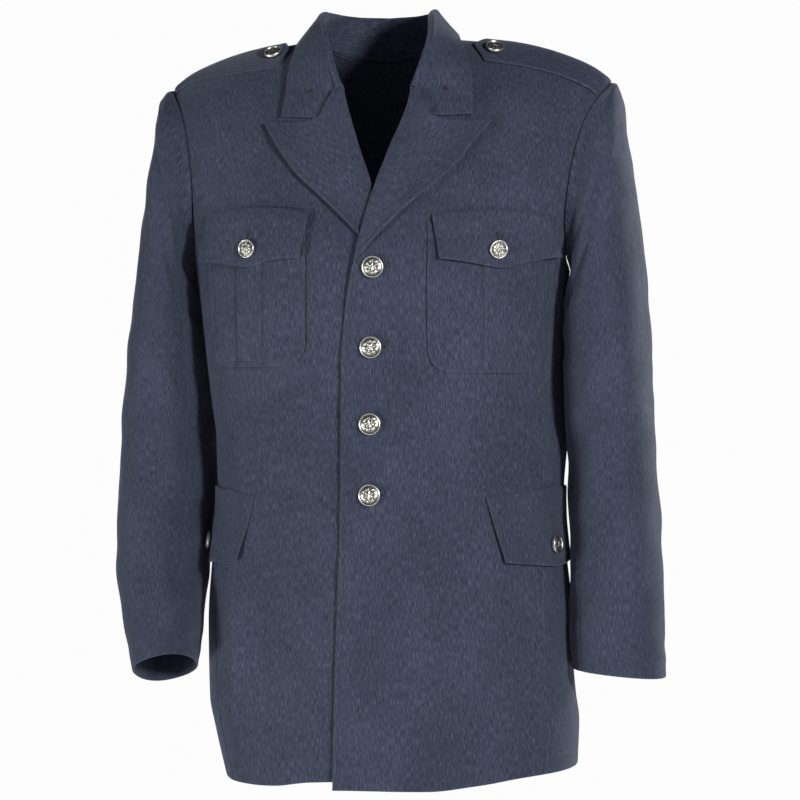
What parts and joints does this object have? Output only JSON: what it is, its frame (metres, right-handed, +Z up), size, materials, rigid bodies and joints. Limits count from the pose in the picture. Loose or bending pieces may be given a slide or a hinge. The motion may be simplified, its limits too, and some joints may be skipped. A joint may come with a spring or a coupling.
{
  "type": "dress uniform jacket",
  "caption": "Single-breasted dress uniform jacket in its worn shape, hollow, with notched lapels, shoulder straps, pleated chest pockets, hip flaps and metal buttons.",
  "frame": {"origin": "on the body's centre line, at the height where the shoulders meet the neck, in the plane of the shoulder seams", "axes": "+Z up along the body, -Y towards the buttoned front, +X towards the wearer's left"},
  "size_m": [0.5721, 0.2703, 0.7972],
  "materials": {
    "blue_grey_wool": "fine heather wool blend cloth in dark blue-grey, matte",
    "antique_silver_metal": "darkened silver-coloured metal, worn bright on the raised rim"
  },
  "bodies": {
    "root": {"back_left": "blue_grey_wool", "back_right": "blue_grey_wool", "chest_flap_left": "blue_grey_wool", "chest_flap_right": "blue_grey_wool", "chest_pocket_left": "blue_grey_wool", "chest_pocket_right": "blue_grey_wool", "collar": "blue_grey_wool", "epaulette_left": "blue_grey_wool", "epaulette_right": "blue_grey_wool", "front_left": "blue_grey_wool", "front_right": "blue_grey_wool", "hip_flap_left": "blue_grey_wool", "hip_flap_right": "blue_grey_wool", "lapel_left": "blue_grey_wool", "lapel_right": "blue_grey_wool", "side_left": "blue_grey_wool", "side_right": "blue_grey_wool", "sleeve_top_left": "blue_grey_wool", "sleeve_top_right": "blue_grey_wool", "sleeve_under_left": "blue_grey_wool", "sleeve_under_right": "blue_grey_wool", "button_chest_left": "antique_silver_metal", "button_chest_right": "antique_silver_metal", "button_epaulette_left": "antique_silver_metal", "button_epaulette_right": "antique_silver_metal", "button_front_1": "antique_silver_metal", "button_front_2": "antique_silver_metal", "button_front_3": "antique_silver_metal", "button_front_4": "antique_silver_metal", "button_hip_left": "antique_silver_metal", "button_hip_right": "antique_silver_metal"}
  },
  "joints": []
}
